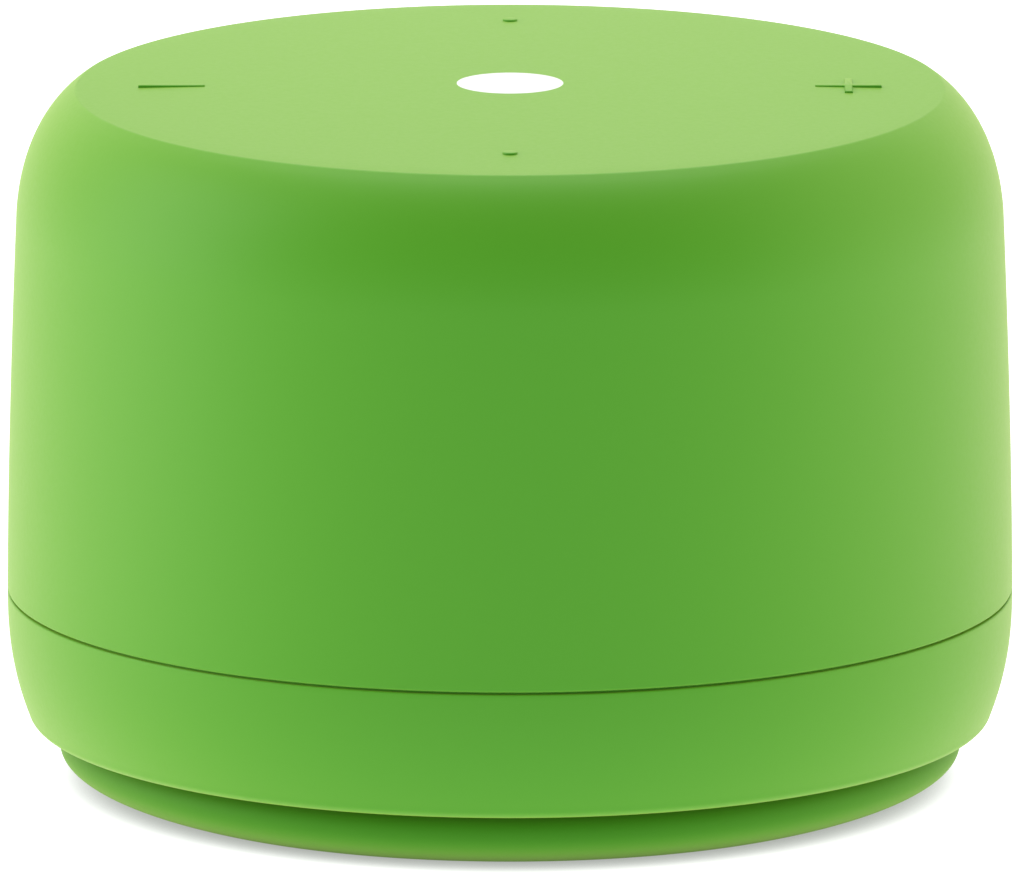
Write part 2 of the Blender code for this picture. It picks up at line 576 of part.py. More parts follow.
def make_battery(materials, body):
    half_x, half_y = CELL_HALF
    wall = 1.2 * MM
    pocket_x, pocket_y, pocket_top = half_x + 0.4 * MM, half_y + 0.4 * MM, 35.25 * MM
    carrier = add_solid("battery_carrier",
                        turned(disc_outline(29.2 * MM, CARRIER_BOTTOM, CARRIER_TOP)),
                        materials["plastic_white"], body)
    combine(carrier, block_about_axis(pocket_x + wall, pocket_y + wall, 30 * MM, 36 * MM, MM),
            "UNION")
    combine(carrier, block_about_axis(pocket_x, pocket_y, CELL_BOTTOM, pocket_top, 0.4 * MM),
            "DIFFERENCE")
    holes = board_screw_holes(CARRIER_BOTTOM - MM, CARRIER_TOP + MM)
    add_block(holes, (-5.6 * MM, 20.5 * MM, 34 * MM), (5.6 * MM, 32 * MM, 38 * MM))
    for at in (LEAD_HOLE, CELL_LEAD_HOLE):
        add_rod(holes, 2.4 * MM, 34 * MM, 38 * MM, at)
    combine(carrier, holes, "DIFFERENCE")

    pad = block_about_axis(15 * MM, 10 * MM, CELL_TOP + THIN_GAP, pocket_top - 0.05 * MM)
    add_solid("battery_pad", pad, materials["foam_black"], body)
    cell = block_about_axis(half_x, half_y, CELL_BOTTOM, CELL_TOP, 1.5 * MM, 0)
    add_solid("battery_cell", cell, materials["cell_foil"], body)


def make_port(materials, body, hinge):
    half_width, half_height = 4.5 * MM, 1.6 * MM
    front, back = 31.0 * MM, 23.7 * MM
    shell = bmesh.new()
    add_block(shell, (-half_width, back, PORT_HEIGHT - half_height),
              (half_width, front, PORT_HEIGHT + half_height), 1.2 * MM, axis=1)
    socket = add_solid("charging_socket", shell, materials["steel"], body)
    mouth = bmesh.new()
    inner_half_width, inner_half_height = half_width - PORT_WALL, half_height - PORT_WALL
    add_block(mouth, (-inner_half_width, back + 1.5 * MM, PORT_HEIGHT - inner_half_height),
              (inner_half_width, front + 1 * MM, PORT_HEIGHT + inner_half_height),
              1.0 * MM, axis=1)
    combine(socket, mouth, "DIFFERENCE")
    tongue = bmesh.new()
    add_block(tongue, (-3.3 * MM, back + 1.0 * MM, PORT_HEIGHT - 0.35 * MM),
              (3.3 * MM, front - 0.9 * MM, PORT_HEIGHT + 0.35 * MM))
    combine(socket, tongue, "UNION")

    capsule = bmesh.new()
    add_radial_rod(capsule, 2.0 * MM, 29.5 * MM, 30.9 * MM, MIC_ANGLE, PORT_HEIGHT - 1.0 * MM, 16)
    add_solid("microphone", capsule, materials["steel"], body)
    lamp = bmesh.new()
    add_radial_rod(lamp, 1.0 * MM, 29.5 * MM, 30.9 * MM, LAMP_ANGLE, PORT_HEIGHT, 12)
    add_solid("status_lamp", lamp, materials["lamp_clear"], body)

    low, high = hinge.location.z, hinge.location.z + FLAP_HEIGHT
    flap = turned([(33.15 * MM, low - MM), (FLAP_FACE, low - MM),
                   (FLAP_FACE - 0.15 * MM, high + MM), (33.15 * MM, high + MM)], 96)
    item = add_solid("port_flap", flap, materials["silicone_green"], hinge, hinge.location)
    keep = bmesh.new()
    add_block(keep, (-FLAP_WIDTH / 2, 30 * MM, low), (FLAP_WIDTH / 2, 37 * MM, high),
              0.8 * MM, axis=1)
    combine(item, keep, "INTERSECT")
    plug = bmesh.new()
    add_block(plug, (-4.6 * MM, 31.7 * MM, PORT_HEIGHT - 2.0 * MM),
              (4.6 * MM, 33.6 * MM, PORT_HEIGHT + 2.0 * MM), 1.2 * MM, axis=1)
    combine(item, plug, "UNION")


# ---- keys ---------------------------------------------------------------------------------
def make_key(name, materials, body, at, mark):
    """One key: a pad of the sleeve's skin with its raised mark and plunger, and the switch."""
    centre = at.x, at.y
    top = crown_height(KEY_RING / CREASE_RADIUS)
    move = pivot(f"{name}_travel", (at.x, at.y, 0.0), body)
    outline = [(0.0, top), (KEY_RADIUS, top), (KEY_RADIUS, KEY_UNDERSIDE),
               (PLUNGER_RADIUS, KEY_UNDERSIDE), (PLUNGER_RADIUS, PLUNGER_END), (0.0, PLUNGER_END)]
    key = add_solid(f"{name}_key", turned(outline, 16, centre), materials["silicone_green"],
                    move, (at.x, at.y, 0.0))
    symbol = bmesh.new()
    low, high = top - 0.5 * MM, top + MARK_RISE
    half, stroke = MARK_LENGTH / 2, MARK_STROKE / 2
    if mark == "dot":
        add_rod(symbol, DOT_RADIUS, low, high, centre, 10)
    else:
        add_block(symbol, (at.x - half, at.y - stroke, low), (at.x + half, at.y + stroke, high))
    combine(key, symbol, "UNION")
    if mark == "plus":
        second = bmesh.new()
        add_block(second, (at.x - stroke, at.y - half, low), (at.x + stroke, at.y + half, high))
        combine(key, second, "UNION")

    stem = disc_outline(STEM_RADIUS, STEM_BOTTOM, PLUNGER_END - THIN_GAP)
    add_solid(f"{name}_switch_stem", turned(stem, COARSE, centre), materials["plastic_black"],
              move, move.location)
    case = bmesh.new()
    add_block(case, (at.x - SWITCH_HALF, at.y - SWITCH_HALF, BOARD_TOP + THIN_GAP),
              (at.x + SWITCH_HALF, at.y + SWITCH_HALF, SWITCH_TOP), 0.4 * MM)
    switch = add_solid(f"{name}_switch", case, materials["steel"], body)
    well = bmesh.new()
    add_rod(well, STEM_RADIUS + 0.25 * MM, STEM_BOTTOM - KEY_TRAVEL - GAP, SWITCH_TOP + MM, centre)
    combine(switch, well, "DIFFERENCE")


# ---- leads --------------------------------------------------------------------------------
def add_lead(name, material, body, route):
    """An insulated wire along a smooth curve through the route's points, given in mm."""
    points = [Vector(point) * MM for point in route]
    ends = [2 * points[0] - points[1]] + points + [2 * points[-1] - points[-2]]
    smooth = []
    for first in range(len(points) - 1):
        a, b, c, d = ends[first:first + 4]
        for step in range(3):
            t = step / 3
            smooth.append(0.5 * (2 * b + (c - a) * t + (2 * a - 5 * b + 4 * c - d) * t * t
                                 + (3 * b - a - 3 * c + d) * t ** 3))
    smooth.append(points[-1])
    curve = bpy.data.curves.new(name, "CURVE")
    curve.dimensions = "3D"
    curve.bevel_depth = LEAD_RADIUS
    curve.bevel_resolution = 2
    curve.use_fill_caps = True
    line = curve.splines.new("POLY")
    line.points.add(len(smooth) - 1)
    for place, point in zip(line.points, smooth):
        place.co = (*point, 1.0)
    curve.materials.append(material)
    item = bpy.data.objects.new(name, curve)
    item.parent = body
    bpy.context.scene.collection.objects.link(item)


def main():
    for item in list(bpy.data.objects):
        bpy.data.objects.remove(item, do_unlink=True)
    materials = make_materials()
    body = pivot("speaker", (0.0, 0.0, 0.0))
    cup = pivot("cup_press", (0.0, 0.0, 0.0), body)
    diaphragm = pivot("cone_travel", (0.0, 0.0, 0.0), body)
    hinge = pivot("flap_hinge", (0.0, FLAP_FACE, PORT_HEIGHT - FLAP_HEIGHT / 2), body)

    make_sleeve(materials, body)
    make_housing(materials, body)
    make_base(materials, body)
    make_seals(materials, body)
    make_cup(materials, body, cup)
    make_screws(materials, body)
    make_driver(materials, body, diaphragm)
    make_board(materials, body)
    make_battery(materials, body)
    make_port(materials, body, hinge)
    for name, angle in KEY_ANGLES.items():
        make_key(name, materials, body, on_ring(KEY_RING, angle), KEY_MARKS[name])

    red, black = materials["wire_red"], materials["wire_black"]
    for name, material, side in (("driver_lead_red", red, 0.7), ("driver_lead_black", black, -0.7)):
        add_lead(name, material, body,
                 [(-6.3 + side, -17.3 - side, 12.75), (-8.0 + side, -19.6 - side, 15.5),
                  (-12.4 + side, -20.6 - side, 22.0), (-15.0 + side, -19.4 - side, 30.0),
                  (-15.0 + side, -19.0 - side, 36.8)])
    for name, material, y in (("battery_lead_red", red, 0.9), ("battery_lead_black", black, -0.9)):
        add_lead(name, material, body,
                 [(-17.2, y, 29.3), (-19.2, y, 29.2), (-21.2, y, 31.0), (-21.4, y, 34.0),
                  (-21.4, y, 36.8)])
    body.location.z = DATUM_HEIGHT


main()
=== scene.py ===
import json
import math

import bmesh
import bpy
from mathutils import Matrix, Vector


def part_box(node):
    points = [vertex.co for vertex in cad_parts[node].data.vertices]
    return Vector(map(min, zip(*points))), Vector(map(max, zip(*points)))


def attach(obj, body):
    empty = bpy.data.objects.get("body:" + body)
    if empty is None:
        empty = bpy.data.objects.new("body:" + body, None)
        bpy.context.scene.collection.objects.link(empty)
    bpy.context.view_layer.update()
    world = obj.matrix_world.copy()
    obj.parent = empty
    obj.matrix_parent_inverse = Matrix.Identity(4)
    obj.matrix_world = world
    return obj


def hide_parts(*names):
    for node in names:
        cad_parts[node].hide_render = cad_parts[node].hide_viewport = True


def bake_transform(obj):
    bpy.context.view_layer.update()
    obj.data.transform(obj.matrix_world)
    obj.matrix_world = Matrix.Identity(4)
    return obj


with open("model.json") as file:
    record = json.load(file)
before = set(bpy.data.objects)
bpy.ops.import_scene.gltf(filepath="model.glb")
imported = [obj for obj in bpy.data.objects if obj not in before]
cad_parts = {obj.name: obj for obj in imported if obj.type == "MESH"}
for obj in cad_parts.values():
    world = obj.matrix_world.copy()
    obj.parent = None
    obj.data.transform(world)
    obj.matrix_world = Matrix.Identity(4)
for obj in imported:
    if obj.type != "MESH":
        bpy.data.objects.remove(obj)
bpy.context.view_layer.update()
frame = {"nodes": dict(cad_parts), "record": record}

MM = 0.001

# ---- places that the frame gives ----------------------------------------------------------
# Heights in this file are measured from the drum's datum plane, as on the CAD part; add_piece
# lifts each mesh by DATUM_HEIGHT, so that the cup stands on z = 0.
DATUM_HEIGHT = 0.6 * MM
SLEEVE_LOW, SLEEVE_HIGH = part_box("outer_sleeve")
BASE_LOW, BASE_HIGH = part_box("base_shell")
CUP_LOW, CUP_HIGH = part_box("suction_cup")
BODY_RADIUS = BASE_HIGH.x          # widest place, at the seam
SEAM_HEIGHT = (SLEEVE_LOW.z + BASE_HIGH.z) / 2 - DATUM_HEIGHT
EDGE_HEIGHT = BASE_LOW.z - DATUM_HEIGHT
TOP_HEIGHT = SLEEVE_HIGH.z - DATUM_HEIGHT          # top of the crown, at the middle
CUP_RADIUS = CUP_HIGH.x
CUP_TOP = CUP_HIGH.z - DATUM_HEIGHT
CUP_GROUND = CUP_LOW.z - DATUM_HEIGHT

# ---- the drum's outline --------------------------------------------------------------------
EDGE_RADIUS = 33.6 * MM
EDGE_ROUNDING = 0.8 * MM
BASE_FULLNESS = 2.3                # how soon the base shell's side turns upright
SEAM_WIDTH = 0.16 * MM
SEAM_ROUNDING = 0.12 * MM
SEAM_DEPTH = 0.35 * MM             # the seam's groove ends on a ledge of the base shell
LEDGE_WIDTH = 0.4 * MM
LEDGE_RISE = 0.9                   # share of the seam that the ledge fills
WALL_POWER = 1.6                   # how late the wall starts to lean in
SHOULDER_RADIUS = 34.3 * MM
SHOULDER_HEIGHT = 39.6 * MM
CREASE_RADIUS = 30.2 * MM
CREASE_SLOPE = math.radians(34.0)
SHOULDER_LEAN = math.radians(4.0)
SHOULDER_HANDLES = (3.6 * MM, 3.0 * MM)   # how far the wall's and the crease's slopes carry on
CREASE_ROUNDING = 0.35 * MM
CREASE_SPAN = 1.5 * MM             # the rounding takes the crown's slope this far inside
CREASE_REACH = 0.8 * MM            # width that the crown leaves to the crease's rounding
CROWN_RISE = 0.4 * MM
CREASE_HEIGHT = TOP_HEIGHT - CROWN_RISE
SLEEVE_INNER_RADIUS = 33.0 * MM
SLEEVE_INNER_TOP = 46.5 * MM
INNER_CORNER = 6.5 * MM

# ---- cup, as on the CAD part --------------------------------------------------------------
CUP_CONTACT = (26.6 * MM, 27.9 * MM)               # the flat ring that touches the ground
CUP_CURL = 2.5 * MM                # height over which the side curls in to the contact ring
CUP_CURL_POWER = 2.4
CUP_SHELF = 3.5 * MM               # height of the cup's upper edge
CUP_EDGE_ROUNDING = 1.6 * MM
CUP_NECK_RADIUS = 3.0 * MM
CUP_NECK_FOOT = 6.2 * MM
CUP_FOOT_RADIUS = 6.0 * MM
CUP_FOOT_ROUNDING = 0.25 * MM
CUP_SHELF_CURVE = ((6.35 * MM, 5.6 * MM), (8 * MM, 4.6 * MM), (18 * MM, 4.1 * MM))
CUP_SHELF_FLAT = 3.0 * MM          # width of the shelf's level part, with the rounding
CUP_LIP = (0.1 * MM, 0.03 * MM)    # small step on the inside of the contact ring
CUP_HOLLOW = 3.6 * MM              # height of the hollow's roof above the ground
CUP_HOLLOW_CURVE = ((25.8 * MM, 0.0), (18 * MM, 2.4 * MM))
CUP_ROOF_REACH = 12 * MM           # how far out the roof stays nearly level

# ---- base shell, as on the CAD part -------------------------------------------------------
CASE_SCREW_RING = 28.6 * MM
CASE_SCREW_ANGLES = (30.0, 150.0, 270.0)
DRIVER_SCREW_RING = 21.3 * MM
DRIVER_SCREW_ANGLES = (45.0, 135.0, 225.0, 315.0)
SOUND_SLOTS = 12
SOUND_SLOT = (8.0 * MM, 15.4 * MM, 0.8 * MM)       # both ends and half the width
SLOT_ROUNDING = 0.98               # of half the width, at the corners of a slot's ends
THROUGH_PLATE = (5.0 * MM, 9.0 * MM)               # a cutter's ends, on either side of the plate
SHELL_INNER = 31.8 * MM
PLATE_BOTTOM = 6.5 * MM
PLATE_TOP = 8.1 * MM
PLATE_HOLE = 3.3 * MM              # lets the cup's neck through
COLLAR = (16.9 * MM, 20.4 * MM, 10.6 * MM)         # inner and outer radius, and top
SKIRT_GAP = 0.3 * MM
SKIRT_FOOT = ((0.0, 0.4 * MM), (0.1 * MM, 0.1 * MM), (0.35 * MM, 0.0))    # out and up from it
POST_FOOT = 7.0 * MM
CASE_POST = (3.4 * MM, 0.25 * MM)  # radius, and how far its top lies under the seam
CASE_COUNTERBORE = (2.5 * MM, 5.0 * MM, 8.7 * MM)  # radius and both ends
CASE_SHAFT = (1.4 * MM, 8.0 * MM, 14.0 * MM)
DRIVER_POST = (1.8 * MM, 10.9 * MM)                # radius and top
DRIVER_PILOT = (0.95 * MM, 8.6 * MM, 12.0 * MM)

# ---- driver -------------------------------------------------------------------------------
ROLL_MIDDLE = (15.6 * MM, 11.65 * MM)
ROLL_RADIUS = 1.4 * MM
ROLL_SKIN = 0.35 * MM
SPIDER_RADII = (7.4 * MM, 11.15 * MM)
SPIDER_HEIGHT = 16.7 * MM
SPIDER_WAVE = 0.2 * MM
SPIDER_CRESTS = 2
SPIDER_SKIN = 0.3 * MM

# ---- keys and marks -----------------------------------------------------------------------
KEY_RING = 23.5 * MM
PAD_RADIUS = 3.0 * MM              # this much of the skin goes straight down with its key
DENT_RADIUS = 6.2 * MM             # the skin between the pad and this circle is made in sectors
SKIN_SLAB = 0.6 * MM
SECTORS = 8
MARK_RISE = 0.14 * MM
MARK_STROKE = 0.56 * MM
MARK_LENGTH = 4.6 * MM
MARK_EASE = 0.45                   # share of the rise that is rounded off
MARK_EASE_MIDDLE = 0.3
DOT_RADIUS = 0.52 * MM
PRINT_RADIUS = 3.7 * MM
PRINT_FILM = 0.02 * MM
PRINT_SHAPE = ((0.0, 1.0), (0.9, 1.0), (0.97, 0.8), (1.0, 0.0), (1.0, -1.0), (0.0, -1.0))
PLUNGER_RADII = (2.6 * MM, 2.2 * MM, 1.6 * MM)     # at the skin, below it and of the shaft
PLUNGER_HEIGHTS = (47.7 * MM, 46.95 * MM, 46.4 * MM, 42.75 * MM)    # of those and of the foot
PLUNGER_CHAMFER = 0.25 * MM
KEY_ANGLES = {"volume_up": 0.0, "play": 90.0, "volume_down": 180.0, "power": 270.0}

# ---- port ---------------------------------------------------------------------------------
FLAP_LOW, FLAP_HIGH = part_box("port_flap")
PORT_HEIGHT = (FLAP_LOW.z + FLAP_HIGH.z) / 2 - DATUM_HEIGHT
FLAP_WIDTH = FLAP_HIGH.x - FLAP_LOW.x
FLAP_HEIGHT = FLAP_HIGH.z - FLAP_LOW.z
FLAP_GAP = 0.22 * MM
FLAP_CORNER = 0.8 * MM
FLAP_DEPTHS = (1.15 * MM, -0.05 * MM)              # back and face, under the wall's surface
FLAP_ROUNDING = 0.3 * MM
FLAP_RINGS = 6
ROUNDED_EDGE = ((0.0, 1.0), (0.13, 0.5), (0.5, 0.13), (1.0, 0.0))    # inset and depth
PORT_CORNER = 1.0 * MM
LIP_SIZE = (5.0 * MM, 0.8 * MM)
LIP_CORNER = 0.38 * MM
LIP_DEPTHS = (0.2 * MM, -0.45 * MM)
LIP_ROUNDING = 0.25 * MM
LIP_DROP = 1.3 * MM                # from the flap's upper edge
PLUG_SIZE = (9.2 * MM, 4.0 * MM)
PLUG_CORNER = 1.2 * MM
PLUG_LAYERS = ((1.0, 33.6 * MM), (1.0, 31.95 * MM), (0.97, 31.75 * MM), (0.9, 31.7 * MM))
CONTACTS = 8                       # on each side of the socket's tongue
CONTACT_PITCH = 0.68 * MM
CONTACT_SIZE = (0.3 * MM, 3.0 * MM, 0.05 * MM)
CONTACT_LIFT = 0.36 * MM           # from the tongue's middle
CONTACT_DEPTH = 2.6 * MM           # from the socket's mouth
MIC_ANGLE = 108.0
LAMP_ANGLE = 72.0
PINHOLE_RADIUS = 0.6 * MM
THROUGH_WALL = (30.0 * MM, 37.0 * MM)              # a cutter's ends, on either side of the wall
THROUGH_TOP = (44.0 * MM, 52.0 * MM)

# ---- detail of the meshes -----------------------------------------------------------------
ON_AXIS = 1e-9                     # a point nearer to the axis than this lies on it
MERGE_DISTANCE = 1e-7
ROUND = 256                        # facets round the outer pieces
PRINT_FACETS = 96
ROD_FACETS = 32
DOT_FACETS = 32
WALL_STEPS = 26
CROWN_RINGS = 18
CREASE_STEPS = 3                   # the shoulder's last steps, which the rounding takes over
BASE_STEPS = 24
CURL_STEPS = 28
SPIDER_STEPS = 32
PAD_RINGS = 8
SKIN_RINGS = 8
CRISP_EDGE = 30.0                  # edges that turn by more degrees than this stay sharp
SHELL_EDGE = 35.0
PLAIN_EDGE = 40.0
SOFT_EDGE = 50.0
DENT_STEPS = 64                    # facets round a key's patch of skin
FLEX_SECTORS = 12                  # the driver's surround and spider are made in this many parts
FLEX_STEPS = 8


# ---- camera, lights and floor -------------------------------------------------------------
CAMERA_ELEVATION = math.radians(12.0)
CAMERA_DISTANCE = 2.1
CAMERA_REACH = 50.0
VIEW_WIDTH = 71.0 * MM             # width of the picture at the object
SENSOR = 36.0
AIM_HEIGHT = 23.9 * MM
WHITE = (1.0, 1.0, 1.0)
WARM = (1.0, 1.0, 0.6)
LIGHTS_AIM = (0.0, 0.0, 0.025)
SOFTBOXES = (                      # name, place, width and height, power, colour
    ("softbox_left", (-0.42, -0.02, 0.16), (0.35, 0.45), 1.1, WHITE),
    ("softbox_right", (0.42, -0.02, 0.16), (0.35, 0.45), 0.54, WARM),
    ("softbox_top", (0.0, 0.11, 0.42), (0.4, 0.4), 1.12, WHITE),
)
ROOM_FRONT = 0.36                  # the room's brightness on the camera's side
ROOM_BACK = 1.25
FLOOR_SIZE = 12.0
FLOOR_DROP = 0.01 * MM             # keeps the sheet just clear of the ring that stands on it
FLOOR_GLOW = 1.2
FLOOR_PAINTED_SHADOW = 0.38                 # painted contact shadow: what is left of the glow where the object stands
FLOOR_OPEN = 0.7                   # share of open sky above which the glow is whole
FLOOR_PAINTED_SHADOW_REACH = 2.7 * MM       # the glow fades this close to the object, as a painted contact shadow
FLOOR_PAPER = (0.2, 0.19, 0.2)
FLOOR_ROUGHNESS = 0.85
FLOOR_GRAIN_WAVES = 900.0
FLOOR_GRAIN_DETAIL = 4.0
FLOOR_GRAIN = (0.02, 0.1 * MM)     # strength and depth of the grain


def add_camera():
    data = bpy.data.cameras.new("camera")
    data.sensor_width = SENSOR
    data.lens = SENSOR * CAMERA_DISTANCE / VIEW_WIDTH
    data.clip_end = CAMERA_REACH
    camera = bpy.data.objects.new("camera", data)
    away = Vector((0.0, -math.cos(CAMERA_ELEVATION), math.sin(CAMERA_ELEVATION)))
    camera.location = Vector((0.0, 0.0, AIM_HEIGHT)) + away * CAMERA_DISTANCE
    camera.rotation_euler = (-away).to_track_quat("-Z", "Y").to_euler()
    bpy.context.scene.collection.objects.link(camera)
    bpy.context.scene.camera = camera


def add_softbox(name, place, size, power, colour):
    data = bpy.data.lights.new(name, "AREA")
    data.shape = "RECTANGLE"
    data.size, data.size_y = size
    data.energy = power
    data.color = colour
    lamp = bpy.data.objects.new(name, data)
    lamp.location = place
    way = Vector(LIGHTS_AIM) - Vector(place)
    lamp.rotation_euler = way.to_track_quat("-Z", "Y").to_euler()
    bpy.context.scene.collection.objects.link(lamp)


def add_world():
    """A white room that is brighter behind the object than in front of it."""
    world = bpy.data.worlds.new("studio")
    world.use_nodes = True
    nodes, links = world.node_tree.nodes, world.node_tree.links
    background = nodes["Background"]
    background.inputs["Color"].default_value = (*WHITE, 1.0)
    place = nodes.new("ShaderNodeTexCoord")
    split = nodes.new("ShaderNodeSeparateXYZ")
    span = nodes.new("ShaderNodeMapRange")
    span.inputs["To Min"].default_value = ROOM_FRONT
    span.inputs["To Max"].default_value = ROOM_BACK
    links.new(place.outputs["Generated"], split.inputs["Vector"])
    links.new(split.outputs["Y"], span.inputs["Value"])
    links.new(span.outputs["Result"], background.inputs["Strength"])
    bpy.context.scene.world = world


def add_floor():
    """A pale sheet that glows, with the glow cut back close to what stands on it as a painted
    contact shadow.
    """
    half = FLOOR_SIZE / 2
    floor = bpy.data.meshes.new("floor")
    floor.from_pydata([(-half, -half, 0), (half, -half, 0), (half, half, 0), (-half, half, 0)],
                      [], [(0, 1, 2, 3)])
    material = new_material("floor_paper", FLOOR_PAPER, FLOOR_ROUGHNESS)
    grain = add_noise(material, FLOOR_GRAIN_WAVES, FLOOR_GRAIN_DETAIL)
    bump_from(material, grain, *FLOOR_GRAIN)
    shader = shader_of(material)
    shader.inputs["Emission Color"].default_value = (*WHITE, 1.0)
    nodes, links = material.node_tree.nodes, material.node_tree.links
    # the glow is cut back where the object hides the sky: a painted contact shadow on the floor
    open_sky = nodes.new("ShaderNodeAmbientOcclusion")
    open_sky.inputs["Distance"].default_value = FLOOR_PAINTED_SHADOW_REACH
    glow_with_painted_shadow = nodes.new("ShaderNodeMapRange")
    glow_with_painted_shadow.inputs["From Max"].default_value = FLOOR_OPEN
    glow_with_painted_shadow.inputs["To Min"].default_value = FLOOR_PAINTED_SHADOW
    glow_with_painted_shadow.inputs["To Max"].default_value = FLOOR_GLOW
    links.new(open_sky.outputs["AO"], glow_with_painted_shadow.inputs["Value"])
    links.new(glow_with_painted_shadow.outputs["Result"], shader.inputs["Emission Strength"])
    floor.materials.append(material)
    item = bpy.data.objects.new("floor", floor)
    item.location.z = -FLOOR_DROP
    bpy.context.scene.collection.objects.link(item)


def add_studio():
    bpy.context.scene.view_settings.view_transform = "Standard"
    add_world()
    for softbox in SOFTBOXES:
        add_softbox(*softbox)
    add_floor()


# ---- materials ----------------------------------------------------------------------------
GREEN = (0.036, 0.335, 0.001)
# the cup's green is the drum's green painted darker: painted shade under the body's overhang
GREEN_CUP_PAINTED_SHADE = (0.027, 0.252, 0.001)
GREEN_SHADE = 0.97                  # the darker places of the dye
GREEN_BLOOM = (0.95, 0.95, 0.2)     # the yellowish veil that the skin shows at a low angle
BLOOM_ROUGHNESS = 0.72
DYE_WAVES = 45.0                    # waves per metre of the slow change in the dye
POLISH_WAVES = 2500.0               # of the change in roughness
POLISH_SPREAD = 0.02
SKIN_GRAIN_WAVES = 12000.0
SKIN_GRAIN = (0.02, 0.01 * MM)      # strength and depth of the grain
PLAIN_SPREAD = 0.08
PLAIN_GRAIN = (0.08, 0.02 * MM)
LOWEST_ROUGHNESS = 0.05
NOISE_SPAN = (0.3, 0.7)             # most of a noise texture's values lie between these


def shader_of(material):
    return material.node_tree.nodes["Principled BSDF"]


def new_material(name, colour, roughness, metallic=0.0):
    material = bpy.data.materials.new(name)
    material.use_nodes = True
    shader = shader_of(material)
    shader.inputs["Base Color"].default_value = (*colour, 1.0)
    shader.inputs["Roughness"].default_value = roughness
    shader.inputs["Metallic"].default_value = metallic
    return material


def add_noise(material, scale, detail, stretch=(1.0, 1.0, 1.0)):
    """A noise texture in object coordinates; scale is in waves per metre."""
    nodes, links = material.node_tree.nodes, material.node_tree.links
    place = nodes.new("ShaderNodeTexCoord")
    mapping = nodes.new("ShaderNodeMapping")
    mapping.inputs["Scale"].default_value = stretch
    noise = nodes.new("ShaderNodeTexNoise")
    noise.inputs["Scale"].default_value = scale
    noise.inputs["Detail"].default_value = detail
    links.new(place.outputs["Object"], mapping.inputs["Vector"])
    links.new(mapping.outputs["Vector"], noise.inputs["Vector"])
    return noise.outputs["Fac"]


def vary_colour(material, factor, first, second):
    """Let a texture run the base colour between two colours."""
    nodes, links = material.node_tree.nodes, material.node_tree.links
    mix = nodes.new("ShaderNodeMix")
    mix.data_type = "RGBA"
    mix.inputs["A"].default_value = (*first, 1.0)
    mix.inputs["B"].default_value = (*second, 1.0)
    links.new(factor, mix.inputs["Factor"])
    links.new(mix.outputs["Result"], shader_of(material).inputs["Base Color"])


def vary_roughness(material, factor, low, high):
    nodes, links = material.node_tree.nodes, material.node_tree.links
    span = nodes.new("ShaderNodeMapRange")
    span.inputs["From Min"].default_value = NOISE_SPAN[0]
    span.inputs["From Max"].default_value = NOISE_SPAN[1]
    span.inputs["To Min"].default_value = low
    span.inputs["To Max"].default_value = high
    links.new(factor, span.inputs["Value"])
    links.new(span.outputs["Result"], shader_of(material).inputs["Roughness"])


def bump_from(material, height, strength, distance):
    nodes, links = material.node_tree.nodes, material.node_tree.links
    bump = nodes.new("ShaderNodeBump")
    bump.inputs["Strength"].default_value = strength
    bump.inputs["Distance"].default_value = distance
    links.new(height, bump.inputs["Height"])
    links.new(bump.outputs["Normal"], shader_of(material).inputs["Normal"])


def green_material(name, roughness, colour=GREEN, veil=0.36, ior=1.41):
    """Dyed silicone or soft plastic: an even green with a fine matte grain and a soft veil."""
    material = new_material(name, colour, roughness)
    dye = add_noise(material, DYE_WAVES, 2.0)
    vary_colour(material, dye, Vector(colour) * GREEN_SHADE, colour)
    polish = add_noise(material, POLISH_WAVES, 2.0)
    vary_roughness(material, polish, roughness - POLISH_SPREAD, roughness + POLISH_SPREAD)
    bump_from(material, add_noise(material, SKIN_GRAIN_WAVES, 1.0), *SKIN_GRAIN)
    shader = shader_of(material)
    shader.inputs["IOR"].default_value = ior
    shader.inputs["Sheen Weight"].default_value = veil
    shader.inputs["Sheen Roughness"].default_value = BLOOM_ROUGHNESS
    shader.inputs["Sheen Tint"].default_value = (*GREEN_BLOOM, 1.0)
    return material


def plain_material(name, colour, roughness, metallic=0.0, scale=1500.0, shade=0.85,
                   stretch=(1.0, 1.0, 1.0)):
    """A finish with slight colour and roughness variation and a fine grain."""
    material = new_material(name, colour, roughness, metallic)
    grain = add_noise(material, scale, 3.0, stretch)
    vary_colour(material, grain, Vector(colour) * shade, colour)
    vary_roughness(material, grain, max(roughness - PLAIN_SPREAD, LOWEST_ROUGHNESS),
                   roughness + PLAIN_SPREAD)
    bump_from(material, grain, *PLAIN_GRAIN)
    return material


